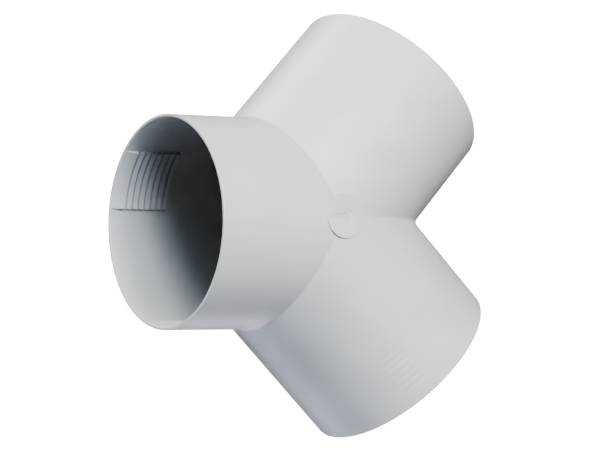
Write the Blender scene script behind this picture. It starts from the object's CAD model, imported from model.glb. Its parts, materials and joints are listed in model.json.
"""The looks of a three-way Y hose fitting: one thin-walled moulding in satin light grey plastic.

Everything is in metres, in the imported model's own frame: the fitting lies flat on the ground, +Z
up, its inlet opening towards -X and its two branches 45 degrees each side of +X. Each region of
the moulding is its own piece. The sockets meet face to face along the mitres and share their
surface normals there, so that the moulding shows no seam.
"""

import json
import math

import bmesh
import bpy
import numpy as np
from mathutils import Matrix, Vector, noise


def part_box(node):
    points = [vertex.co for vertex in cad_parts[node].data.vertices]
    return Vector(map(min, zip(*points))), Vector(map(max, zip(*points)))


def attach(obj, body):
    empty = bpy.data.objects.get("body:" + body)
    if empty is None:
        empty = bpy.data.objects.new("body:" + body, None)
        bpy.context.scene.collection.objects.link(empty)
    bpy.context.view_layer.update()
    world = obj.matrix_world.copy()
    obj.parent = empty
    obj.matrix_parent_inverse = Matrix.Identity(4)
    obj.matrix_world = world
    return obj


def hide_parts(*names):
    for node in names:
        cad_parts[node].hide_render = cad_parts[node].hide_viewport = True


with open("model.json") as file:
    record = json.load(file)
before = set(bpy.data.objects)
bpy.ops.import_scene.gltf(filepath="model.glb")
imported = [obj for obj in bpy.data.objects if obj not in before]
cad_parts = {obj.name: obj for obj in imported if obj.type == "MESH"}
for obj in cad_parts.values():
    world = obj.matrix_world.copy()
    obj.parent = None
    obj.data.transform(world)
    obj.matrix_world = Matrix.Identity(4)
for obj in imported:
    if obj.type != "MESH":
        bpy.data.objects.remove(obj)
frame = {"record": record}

MM = 0.001
UP = np.array([0.0, 0.0, 1.0])
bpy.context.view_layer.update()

# The tube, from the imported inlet, and its wall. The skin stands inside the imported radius, which
# leaves room for the parting line's flash.
INLET_LOW, INLET_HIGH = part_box("inlet_socket")
CAD_RADIUS = (INLET_HIGH.z - INLET_LOW.z) / 2
WALL = 1.5 * MM
SKIN_INSET = 0.06 * MM
OUTER = CAD_RADIUS - SKIN_INSET
BORE = CAD_RADIUS - WALL

# Rounded edges and blends of the moulding
CREASE_FILLET = 3 * MM
BORE_FILLET = 1.2 * MM
LIP_ROUND = 0.25 * MM

# The grip pads: their places along the socket come from a packed pad. Their angles and width are
# in degrees, from the top of the leg towards its left-hand side, looking out of its mouth.
PAD_LOW, PAD_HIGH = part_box("inlet_grip_2")
PAD_SETBACK = PAD_LOW.x - INLET_LOW.x
PAD_LENGTH = PAD_HIGH.x - PAD_LOW.x
PAD_DEPTH = PAD_SETBACK + PAD_LENGTH
PAD_ANGLES = [-30, 90, 210]
PAD_WIDTH = 36.0
LEAD_IN = 6.8 * MM
BARBS = 7
BARB_PITCH = (PAD_LENGTH - LEAD_IN) / BARBS
BARB_HEIGHT = 1.9 * MM
BARB_ROOT = 0.05 * MM
BARB_DROP = 0.08 * MM
BARB_VALLEY = 1.5 * MM
BARB_STEP = Vector((0.12, 1.0)) * MM

# The flat round pad in the middle
DISC_LOW, DISC_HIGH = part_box("centre_disc")
DISC_RADIUS = (DISC_HIGH.x - DISC_LOW.x) / 2
DISC_CENTRE = (DISC_LOW + DISC_HIGH) / 2

# Mesh density: even columns round a tube, the spacing of rings where there are barbs behind them,
# and the number of spans elsewhere. Rings of a blend would meet at the top of the tube, where it
# has no width, so each stands off the last by the smallest step.
COLUMNS = 240
FINE_STEP = 0.42 * MM
COARSE_SPANS = 14
SMALLEST_STEP = 0.1 * MM
QUARTER_ROUND = [math.radians(a) for a in (0, 22, 45, 67, 90)]
TINY = 1e-9


def smooth_step(low, high, value):
    """0 up to low, 1 from high on, and a smooth rise between them."""
    t = np.clip((value - low) / (high - low), 0, 1)
    return t * t * (3 - 2 * t)


# ---------------------------------------------------------------- the three legs

class Leg:
    """One socket: its mouth, the way its axis points, and the leg and mitre on each side of it.

    Side 1 is its left, looking out of its mouth, and side -1 its right.
    """

    def __init__(self, mount):
        self.name = mount["name"].removesuffix("_rim")
        self.along = np.array(mount["axis"]) / np.linalg.norm(mount["axis"])
        self.left = np.cross(UP, self.along)
        self.mouth = np.array([*mount["pos_m"][:2], CAD_RADIUS])
        self.neighbours = {}
        self.mitre = {}

    def meet(self, centre, others):
        """Finds the leg's length, and on each side the next leg and how its mitre slants."""
        self.length = float(np.linalg.norm(self.mouth - centre))
        for side in (1, -1):
            turns = [
                (math.atan2(side * (self.left @ o.along), self.along @ o.along) % math.tau, o)
                for o in others if o is not self
            ]
            turn, self.neighbours[side] = min(turns, key=lambda pair: pair[0])
            self.mitre[side] = 1 / math.tan(turn / 2)


def read_legs():
    """The legs, from the record's mounts, and the point where their axes cross."""
    legs = [Leg(mount) for mount in frame["record"]["mounts"]]
    branch = next(leg for leg in legs if leg.name == "left_branch")
    centre = branch.mouth - branch.along * (branch.mouth[1] / branch.along[1])
    for leg in legs:
        leg.meet(centre, legs)
    return legs, centre


LEGS, CENTRE = read_legs()


# ---------------------------------------------------------------- the skin's surface

BLEND_PASSES = 8
PARTING_COLUMNS = (0.12, 0.24, 0.36)


def from_axis(points, leg):
    """How far points are from a leg's axis, which starts at the centre, and the way out from it."""
    offset = points - CENTRE
    along = np.maximum(offset @ leg.along, 0)
    away = offset - along[:, None] * leg.along
    distance = np.linalg.norm(away, axis=1)
    return distance, away / distance[:, None]


def onto_blend(points, leg, other, radius, fillet):
    """Moves points onto the blended surface of two tubes, and gives its normals there.

    The blend is as wide as a ball of the fillet's radius would leave it: it is widest where the
    tubes meet squarely and runs out to nothing where they are tangent.
    """
    for _ in range(BLEND_PASSES):
        near, near_out = from_axis(points, leg)
        far, far_out = from_axis(points, other)
        reach = fillet * (1 - (near_out * far_out).sum(axis=1)) + TINY
        share = np.clip(1 - np.abs(near - far) / reach, 0, 1)
        level = np.minimum(near, far) - share * share * reach / 4 - radius
        weight = np.where(near < far, 1 - share / 2, share / 2)[:, None]
        slope = weight * near_out + (1 - weight) * far_out
        points = points - slope * (level / (slope * slope).sum(axis=1))[:, None]
    return points, slope / np.linalg.norm(slope, axis=1)[:, None]


def column_angles():
    """Angles round a tube from its top, with extra columns at the parting lines on both sides."""
    even = np.arange(COLUMNS) * 360 / COLUMNS
    left = [90 + side * apart for side in (1, -1) for apart in PARTING_COLUMNS]
    right = [360 - angle for angle in left]
    return np.radians(np.sort(np.concatenate([even, left, right])))


ANGLES = column_angles()
ON_LEFT = np.sin(ANGLES) > -TINY


def outward(leg):
    """The way out from a leg's axis at each column."""
    return np.outer(np.sin(ANGLES), leg.left) + np.outer(np.cos(ANGLES), UP)


def tube_ring(leg, radius, fillet, along):
    """One ring of the leg's wall, blended into the neighbour on each side, and its normals."""
    points = CENTRE + along[:, None] * leg.along + radius * outward(leg)
    normals = np.empty_like(points)
    for side, mine in ((1, ON_LEFT), (-1, ~ON_LEFT)):
        points[mine], normals[mine] = onto_blend(
            points[mine], leg, leg.neighbours[side], radius, fillet
        )
    return points, normals


def mitre_line(leg, radius):
    """How far along the leg its mitre lies at each angle, for a tube of that radius."""
    slant = np.where(ON_LEFT, leg.mitre[1], leg.mitre[-1])
    return radius * np.abs(np.sin(ANGLES)) * slant


def blend_stations(leg, radius, fillet, shares):
    """Places along the leg for rings across its blend, from the mitre outwards."""
    return [
        mitre_line(leg, radius + fillet * share) + SMALLEST_STEP * index
        for index, share in enumerate(shares)
    ]


def coarse_stations(start, end):
    """Even places along the leg between its two ends, either of them curved, both left out."""
    return [start + (end - start) * k / COARSE_SPANS for k in range(1, COARSE_SPANS)]


# ---------------------------------------------------------------- relief of the outside

# Sink marks over the grip pads: each leg's deepest, and the angles from a pad's middle between
# which they fade out. The photo shows them on the right branch only.
SINK_DEPTH = {"inlet": 0.04 * MM, "left_branch": 0.08 * MM, "right_branch": 0.15 * MM}
SINK_FADE = (1, PAD_WIDTH / 2 - 2)

# Its stripes, one over each barb: where they fade in and out, counted in barbs from the lip, and
# their middle and swing as shares of the depth
STRIPES_IN = (-1.0, 0.2)
STRIPES_OUT = (BARBS - 0.2, BARBS + 0.6)
STRIPE_MIDDLE = 0.6
STRIPE_SWING = 0.4

PARTING_HEIGHT = 0.05 * MM
PARTING_HALF_WIDTH = 0.25 * MM
WAVE_DEPTH = 0.05 * MM
WAVES_PER_METRE = 22

# How far from the lip the parting line and the waves begin and are at their full height
LIP_FADE = (0.6 * MM, 1.6 * MM)


def pad_window(angle):
    """1 over the middle of a grip pad and 0 from its sides on, by angle."""
    total = np.zeros_like(angle)
    for middle in PAD_ANGLES:
        apart = np.abs((np.degrees(angle) - middle + 180) % 360 - 180)
        total += 1 - smooth_step(*SINK_FADE, apart)
    return total


def outside_relief(leg, points, along):
    """How far the outside stands off its nominal radius: faint sink marks over the barbs, the
    parting line's thread of flash, and the slow waves of a cooled moulding."""
    depth = leg.length - along
    barb = (depth - PAD_SETBACK - LEAD_IN) / BARB_PITCH
    over_barbs = smooth_step(*STRIPES_IN, barb) * (1 - smooth_step(*STRIPES_OUT, barb))
    stripes = over_barbs * (STRIPE_MIDDLE - STRIPE_SWING * np.cos(math.tau * barb))
    sinks = -SINK_DEPTH[leg.name] * pad_window(ANGLES) * stripes
    off_parting = np.abs(np.cos(ANGLES)) * OUTER / PARTING_HALF_WIDTH
    parting = PARTING_HEIGHT * np.clip(1 - off_parting, 0, 1)
    swell = np.array([noise.noise(Vector(p) * WAVES_PER_METRE) for p in points])
    waves = -WAVE_DEPTH * np.clip(0.5 + 0.5 * swell, 0, 1)
    return sinks + (parting + waves) * smooth_step(*LIP_FADE, depth)


# ---------------------------------------------------------------- sockets

# Where the rings across a blend lie, as shares of its fillet
OUTER_BLEND = [0, 0.2, 0.4, 0.6, 0.8, 1.0, 1.3]
INNER_BLEND = [0, 0.25, 0.5, 0.75, 1.0, 1.3]

# The lip's rings, the finely ringed part's reach past the barbs and short of the lip, and how far
# in from the mouth the inside's first plain ring lies
LIP_ANGLES = [math.radians(a) for a in (15, 45, 75, 90)]
PAST_BARBS = 2 * MM
BEFORE_LIP = 0.2 * MM
FIRST_INNER_RING = 3 * MM


def lip_profile(leg):
    """(place along the leg, radius) pairs over the mouth's lip, from outside to inside."""
    end = leg.length
    outer = [
        (end - LIP_ROUND * (1 - math.sin(a)), OUTER - LIP_ROUND * (1 - math.cos(a)))
        for a in LIP_ANGLES
    ]
    inner = [
        (end - LIP_ROUND * (1 - math.cos(a)), BORE + LIP_ROUND * (1 - math.sin(a)))
        for a in [0.0] + LIP_ANGLES
    ]
    return outer + inner


def socket_rings(leg):
    """Rings over the whole wall of a leg: outside from the mitre to the lip, then back inside.

    Gives the rings' points, and for the first and last ring the normals that its neighbour shares.
    """
    straight = np.ones_like(ANGLES)
    rings, normals = [], []

    blend = blend_stations(leg, OUTER, CREASE_FILLET, OUTER_BLEND)
    barbs_start = leg.length - PAD_DEPTH - PAST_BARBS
    fine = np.arange(barbs_start, leg.length - LIP_ROUND - BEFORE_LIP, FINE_STEP)
    plain = coarse_stations(blend[-1], barbs_start)
    for along in blend + plain + [straight * place for place in fine]:
        points, out = tube_ring(leg, OUTER, CREASE_FILLET, along)
        rings.append(points + out * outside_relief(leg, points, along)[:, None])
        normals.append(out)

    for along, radius in lip_profile(leg):
        rings.append(CENTRE + along * leg.along + radius * outward(leg))

    blend = blend_stations(leg, BORE, BORE_FILLET, INNER_BLEND)
    first = leg.length - FIRST_INNER_RING
    plain = coarse_stations(blend[-1], first)
    for along in [straight * first] + plain[::-1] + blend[::-1]:
        points, out = tube_ring(leg, BORE, BORE_FILLET, along)
        rings.append(points)
        normals.append(-out)
    return np.array(rings), normals[0], normals[-1]


def mesh_object(name, vertices, faces):
    """A mesh in the scene, its faces turned outwards."""
    mesh = bpy.data.meshes.new(name)
    mesh.from_pydata(np.asarray(vertices).reshape(-1, 3).tolist(), [], faces)
    mesh.update()
    built = bmesh.new()
    built.from_mesh(mesh)
    bmesh.ops.recalc_face_normals(built, faces=built.faces)
    built.to_mesh(mesh)
    built.free()
    obj = bpy.data.objects.new(name, mesh)
    bpy.context.scene.collection.objects.link(obj)
    return obj


def smooth_with_edges(mesh, angle):
    """Smooth shading, but for edges sharper than so many degrees."""
    mesh.shade_smooth()
    mesh.set_sharp_from_angle(angle=math.radians(angle))


def build_socket(leg):
    """The leg's wall as one closed mesh, with its mitre faces and the shared normals along them."""
    rings, outer_normals, inner_normals = socket_rings(leg)
    count, columns = rings.shape[:2]
    faces = []
    for ring in range(count):
        after = (ring + 1) % count
        for column in range(columns):
            beside = (column + 1) % columns
            faces.append((
                ring * columns + column, ring * columns + beside,
                after * columns + beside, after * columns + column,
            ))
    skin = mesh_object(f"{leg.name}_socket_skin", rings, faces)
    mesh = skin.data
    smooth_with_edges(mesh, angle=40)
    last = (count - 1) * columns
    shared = {i: outer_normals[i] for i in range(columns)}
    shared.update({last + i: inner_normals[i] for i in range(columns)})
    custom = np.zeros((len(mesh.loops), 3))
    for face in mesh.polygons:
        on_mitre = all(v < columns or v >= last for v in face.vertices)
        for loop in face.loop_indices:
            vertex = mesh.loops[loop].vertex_index
            if vertex in shared and not on_mitre:
                custom[loop] = shared[vertex]
    mesh.normals_split_custom_set(custom.tolist())
    return skin


# ---------------------------------------------------------------- grip pads

# Rounding of the barbs and of the pad's two long sides. A rounding takes up at most a side's
# length over CORNER_ROOM.
EDGE_ROUND = 0.12 * MM
SIDE_ROUND = 0.28 * MM
CORNER_ROOM = 2.2
PAD_BURIED = 0.5 * MM
PAD_COLUMNS = 30


def rounded(corners, radius, steps=3):
    """An open outline with every corner rounded, in so many steps."""
    points = [corners[0]]
    for before, corner, after in zip(corners, corners[1:], corners[2:]):
        before, corner, after = (np.array(p, float) for p in (before, corner, after))
        into, out = before - corner, after - corner
        into_length, out_length = np.linalg.norm(into), np.linalg.norm(out)
        size = min(radius, into_length / CORNER_ROOM, out_length / CORNER_ROOM)
        start = corner + into / into_length * size
        end = corner + out / out_length * size
        for k in range(steps + 1):
            t = k / steps
            points.append((1 - t) ** 2 * start + 2 * t * (1 - t) * corner + t * t * end)
    points.append(corners[-1])
    return np.array(points)


def barb_profile():
    """(depth from the lip, height off the bore) of a pad: the lead-in, then the barbs, each with a
    narrow valley, a steep step up and a gentle ramp to its crest, where it drops square."""
    depth = PAD_SETBACK + LEAD_IN
    corners = [(PAD_SETBACK, 0.0), (depth, BARB_HEIGHT)]
    for _ in range(BARBS):
        foot = depth + BARB_VALLEY
        corners += [
            (depth + BARB_DROP, BARB_ROOT), (foot, BARB_ROOT),
            (foot + BARB_STEP.x, BARB_STEP.y), (depth + BARB_PITCH, BARB_HEIGHT),
        ]
        depth += BARB_PITCH
    corners.append((depth + BARB_DROP, 0.0))
    return rounded(corners, EDGE_ROUND)


def build_pad(leg, index, middle):
    """One pad as a closed mesh, its sides rounded and its back sunk in the wall behind it."""
    profile = barb_profile()
    profile = np.vstack([
        [profile[0, 0], -PAD_BURIED], profile, [profile[-1, 0], -PAD_BURIED]
    ])
    half = math.radians(PAD_WIDTH / 2)
    edge = [
        (SIDE_ROUND / BORE * (1 - math.cos(a)), SIDE_ROUND * (1 - math.sin(a)))
        for a in QUARTER_ROUND
    ]
    inner = np.linspace(-half + edge[-1][0], half - edge[-1][0], PAD_COLUMNS)[1:-1]
    columns = [(-half + turn, drop) for turn, drop in edge]
    columns += [(turn, 0.0) for turn in inner]
    columns += [(half - turn, drop) for turn, drop in reversed(edge)]
    rings = []
    for turn, drop in columns:
        angle = math.radians(middle) + turn
        radial = math.sin(angle) * leg.left + math.cos(angle) * UP
        height = np.where(profile[:, 1] > 0, np.maximum(profile[:, 1] - drop, 0), profile[:, 1])
        along = leg.length - profile[:, 0]
        rings.append(CENTRE + np.outer(along, leg.along) + np.outer(BORE - height, radial))
    size = len(profile)
    faces = [
        (ring * size + k, ring * size + (k + 1) % size,
         (ring + 1) * size + (k + 1) % size, (ring + 1) * size + k)
        for ring in range(len(rings) - 1) for k in range(size)
    ]
    faces.append(tuple(range(size)))
    faces.append(tuple((len(rings) - 1) * size + k for k in range(size)))
    pad = mesh_object(f"{leg.name}_grip_{index}_skin", rings, faces)
    smooth_with_edges(pad.data, angle=35)
    return pad


# ---------------------------------------------------------------- the disc and its arrow

DISC_SEGMENTS = 96
DISC_ROUND = 0.12 * MM
DISC_SUNK = 1.15 * MM
DISC_FOOT = OUTER + CAD_RADIUS - DISC_SUNK
DISC_TOP = DISC_HIGH.z - 0.02 * MM
ARROW_DEPTH = 0.25 * MM
ARROW_LENGTH = 12 * MM
ARROW_SHAFT = 2.4 * MM
ARROW_HEAD = Vector((5, 7)) * MM
ARROW_EDGE = 0.05 * MM


def lathe(name, profile, centre, segments):
    """A closed turned piece about +Z from (radius, height) pairs whose ends lie on the axis.

    The two points on the axis are vertices 0 and 1, and the rows between them follow.
    """
    vertices = [(centre[0], centre[1], profile[0][1]), (centre[0], centre[1], profile[-1][1])]
    rows = profile[1:-1]
    last = 2 + (len(rows) - 1) * segments
    for radius, height in rows:
        for k in range(segments):
            turn = math.tau * k / segments
            vertices.append((
                centre[0] + radius * math.cos(turn), centre[1] + radius * math.sin(turn), height
            ))
    faces = []
    for k in range(segments):
        beside = (k + 1) % segments
        faces.append((0, 2 + k, 2 + beside))
        faces.append((1, last + beside, last + k))
        for row in range(len(rows) - 1):
            a, b = 2 + row * segments, 2 + (row + 1) * segments
            faces.append((a + k, b + k, b + beside, a + beside))
    return mesh_object(name, vertices, faces)


def arrow_cutter():
    """A plain arrow along +X as a solid, from the floor of the sunk mark to well above the disc."""
    tail, tip = -ARROW_LENGTH / 2, ARROW_LENGTH / 2
    neck = tip - ARROW_HEAD.x
    half = [(tail, ARROW_SHAFT / 2), (neck, ARROW_SHAFT / 2), (neck, ARROW_HEAD.y / 2)]
    outline = [(x, -y) for x, y in half] + [(tip, 0)] + half[::-1]
    corners = [
        (DISC_CENTRE.x + x, DISC_CENTRE.y + y, height)
        for height in (DISC_TOP - ARROW_DEPTH, DISC_TOP + ARROW_DEPTH) for x, y in outline
    ]
    size = len(outline)
    faces = [tuple(range(size)), tuple(range(size, 2 * size))]
    faces += [(k, (k + 1) % size, size + (k + 1) % size, size + k) for k in range(size)]
    return mesh_object("arrow_cutter", corners, faces)


def apply_modifiers(obj):
    """Puts an object's mesh in the shape that its modifiers give it, and drops them."""
    depsgraph = bpy.context.evaluated_depsgraph_get()
    finished = bpy.data.meshes.new_from_object(obj.evaluated_get(depsgraph))
    obj.modifiers.clear()
    obj.data = finished


def build_disc():
    """The flat pad: a low disc with a soft edge, its foot in the wall, an arrow sunk in its top."""
    rim = [
        (DISC_RADIUS - DISC_ROUND * (1 - math.sin(a)), DISC_TOP - DISC_ROUND * (1 - math.cos(a)))
        for a in QUARTER_ROUND
    ]
    profile = [(0, DISC_TOP), *rim, (DISC_RADIUS, DISC_FOOT), (0, DISC_FOOT)]
    disc = lathe("centre_disc_skin", profile, DISC_CENTRE, DISC_SEGMENTS)
    cutter = arrow_cutter()
    cut = disc.modifiers.new("arrow", "BOOLEAN")
    cut.operation = "DIFFERENCE"
    cut.solver = "EXACT"
    cut.object = cutter
    apply_modifiers(disc)
    bpy.data.objects.remove(cutter)
    soften = disc.modifiers.new("soften", "BEVEL")
    soften.width = ARROW_EDGE
    soften.segments = 2
    soften.limit_method = "ANGLE"
    soften.angle_limit = math.radians(40)
    apply_modifiers(disc)
    smooth_with_edges(disc.data, angle=30)
    return disc


# ---------------------------------------------------------------- plastic

def moulded_plastic():
    """Satin grey plastic: hardly mottled, with the fine grain that a moulding tool leaves."""
    material = bpy.data.materials.new("moulded_grey_plastic")
    material.use_nodes = True
    nodes, links = material.node_tree.nodes, material.node_tree.links
    shader = nodes["Principled BSDF"]
    shader.inputs["IOR"].default_value = 1.5
    place = nodes.new("ShaderNodeTexCoord")

    def cloud(scale, detail):
        """Noise with so many blotches to the metre."""
        texture = nodes.new("ShaderNodeTexNoise")
        texture.inputs["Scale"].default_value = scale
        texture.inputs["Detail"].default_value = detail
        links.new(place.outputs["Object"], texture.inputs["Vector"])
        return texture.outputs["Fac"]

    def ramp(value, low, high):
        """The noise's usual range, from 0.3 to 0.7, stretched over low to high."""
        mapped = nodes.new("ShaderNodeMapRange")
        mapped.inputs["From Min"].default_value = 0.3
        mapped.inputs["From Max"].default_value = 0.7
        mapped.inputs["To Min"].default_value = low
        mapped.inputs["To Max"].default_value = high
        links.new(value, mapped.inputs["Value"])
        return mapped.outputs["Result"]

    tone = nodes.new("ShaderNodeMix")
    tone.data_type = "RGBA"
    tone.inputs["A"].default_value = (0.365, 0.369, 0.361, 1)
    tone.inputs["B"].default_value = (0.395, 0.399, 0.391, 1)
    links.new(ramp(cloud(scale=38, detail=3), 0, 1), tone.inputs["Factor"])
    links.new(tone.outputs["Result"], shader.inputs["Base Color"])
    links.new(ramp(cloud(scale=160, detail=4), 0.40, 0.50), shader.inputs["Roughness"])
    bump = nodes.new("ShaderNodeBump")
    bump.inputs["Strength"].default_value = 0.25
    bump.inputs["Distance"].default_value = 0.02 * MM
    links.new(cloud(scale=2600, detail=2), bump.inputs["Height"])
    links.new(bump.outputs["Normal"], shader.inputs["Normal"])
    return material


# ---------------------------------------------------------------- floor, light and camera

FLOOR_REACH = 3.0
FLOOR_GLOW = 4.5


def build_floor():
    """A plain pale floor, seen but throwing no light back, as a cut-out's background does."""
    corners = [
        (x * FLOOR_REACH, y * FLOOR_REACH, 0) for x, y in ((-1, -1), (1, -1), (1, 1), (-1, 1))
    ]
    floor = mesh_object("floor", corners, [(0, 1, 2, 3)])
    material = bpy.data.materials.new("pale_floor")
    material.use_nodes = True
    shader = material.node_tree.nodes["Principled BSDF"]
    shader.inputs["Base Color"].default_value = (0.9, 0.9, 0.9, 1)
    shader.inputs["Roughness"].default_value = 0.9
    shader.inputs["Emission Color"].default_value = (1, 1, 1, 1)
    shader.inputs["Emission Strength"].default_value = FLOOR_GLOW
    floor.data.materials.append(material)
    floor.visible_diffuse = False
    floor.visible_glossy = False
    floor.visible_transmission = False
    floor.visible_shadow = False


# Soft lights a long way off: the way to each, its width in degrees, its strength and its colour.
# The bounces stand in for light off a pale table. This table wasn't made by hand: another program
# fitted the strengths and colours to the photo's brightness, picked the ways of mouth, front and
# all the bounces from an even spread of its own, and chose which lamps to keep. They are rounded.
LIGHTS = {
    "mouth": ((-0.32, 0.46, 0.83), 16, 2.54, (0.95, 1.00, 1.06)),
    "key": ((-0.2, 0.6, 0.77), 16, 0.85, (1.06, 1.04, 0.91)),
    "crown": ((-0.15, -0.2, 0.97), 16, 0.89, (0.87, 0.98, 1.15)),
    "front": ((-0.89, 0.45, -0.09), 30, 0.95, (1.00, 1.02, 0.98)),
    "front_left": ((-0.8, 0.55, -0.25), 30, 1.65, (1.00, 1.01, 0.99)),
    "left_bounce": ((-0.26, 0.8, -0.54), 30, 1.27, (1.00, 1.02, 0.97)),
    "left_low": ((-0.52, 0.7, -0.49), 30, 0.63, (1.00, 1.01, 0.99)),
    "right_bounce": ((-0.34, -0.75, -0.56), 30, 0.67, (0.93, 0.96, 1.12)),
    "far_bounce": ((0.36, -0.68, -0.64), 30, 1.14, (0.96, 0.97, 1.07)),
    "table_bounce": ((-0.05, -0.64, -0.76), 30, 0.63, (0.93, 0.98, 1.11)),
    "right_low": ((-0.45, -0.9, 0.1), 20, 0.19, (0.80, 0.88, 1.34)),
    "mouth_low": ((-0.5, 0.5, 0.7), 16, 0.30, (0.63, 0.96, 1.44)),
    "overhead": ((0, 0.2, 0.98), 16, 2.96, (1.01, 1.01, 0.98)),
}


def build_light():
    """Soft lights from all round, and a black world."""
    for name, (way, width, strength, colour) in LIGHTS.items():
        lamp = bpy.data.lights.new(name, "SUN")
        lamp.angle = math.radians(width)
        lamp.energy = strength
        lamp.color = colour
        holder = bpy.data.objects.new(name, lamp)
        holder.rotation_mode = "QUATERNION"
        holder.rotation_quaternion = Vector(way).to_track_quat("Z", "Y")
        bpy.context.scene.collection.objects.link(holder)
    world = bpy.data.worlds.new("studio")
    bpy.context.scene.world = world
    world.use_nodes = True
    world.node_tree.nodes["Background"].inputs["Strength"].default_value = 0.0


# The photo's camera: degrees round from -Y, up from the ground and turned about the line of sight,
# metres away, its lens in millimetres, and its aim from the point where the legs' axes meet.
# Another program fitted these to the photo's outline, and the lens and the aim were then nudged.
CAMERA_AZIMUTH = 277.14
CAMERA_ELEVATION = 54.44
CAMERA_ROLL = 82.35
CAMERA_DISTANCE = 1.329
CAMERA_LENS = 160.05
CAMERA_AIM = Vector((8.05, -0.75, 5.6)) * MM


def build_camera():
    """A long lens from the inlet's side and above, turned so that the branches point right."""
    azimuth, elevation = math.radians(CAMERA_AZIMUTH), math.radians(CAMERA_ELEVATION)
    back = Vector((
        math.sin(azimuth) * math.cos(elevation),
        -math.cos(azimuth) * math.cos(elevation),
        math.sin(elevation),
    ))
    data = bpy.data.cameras.new("camera")
    data.lens = CAMERA_LENS
    data.clip_start = 0.05
    data.clip_end = 20
    camera = bpy.data.objects.new("camera", data)
    level = (-back).to_track_quat("-Z", "Y").to_matrix().to_4x4()
    turn = Matrix.Rotation(math.radians(CAMERA_ROLL), 4, "Z")
    place = Matrix.Translation(Vector(CENTRE) + CAMERA_AIM + back * CAMERA_DISTANCE)
    camera.matrix_world = place @ level @ turn
    bpy.context.scene.collection.objects.link(camera)
    bpy.context.scene.camera = camera


# ---------------------------------------------------------------- putting it together

def finish_piece(piece, node, material):
    """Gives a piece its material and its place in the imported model."""
    piece.data.materials.clear()
    piece.data.materials.append(material)
    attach(piece, "root")
    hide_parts(node)


plastic = moulded_plastic()
for leg in LEGS:
    finish_piece(build_socket(leg), f"{leg.name}_socket", plastic)
    for number, middle in enumerate(PAD_ANGLES, start=1):
        finish_piece(build_pad(leg, number, middle), f"{leg.name}_grip_{number}", plastic)
finish_piece(build_disc(), "centre_disc", plastic)

build_floor()
build_light()
build_camera()
bpy.context.scene.view_settings.view_transform = "AgX"
bpy.context.scene.view_settings.look = "AgX - High Contrast"
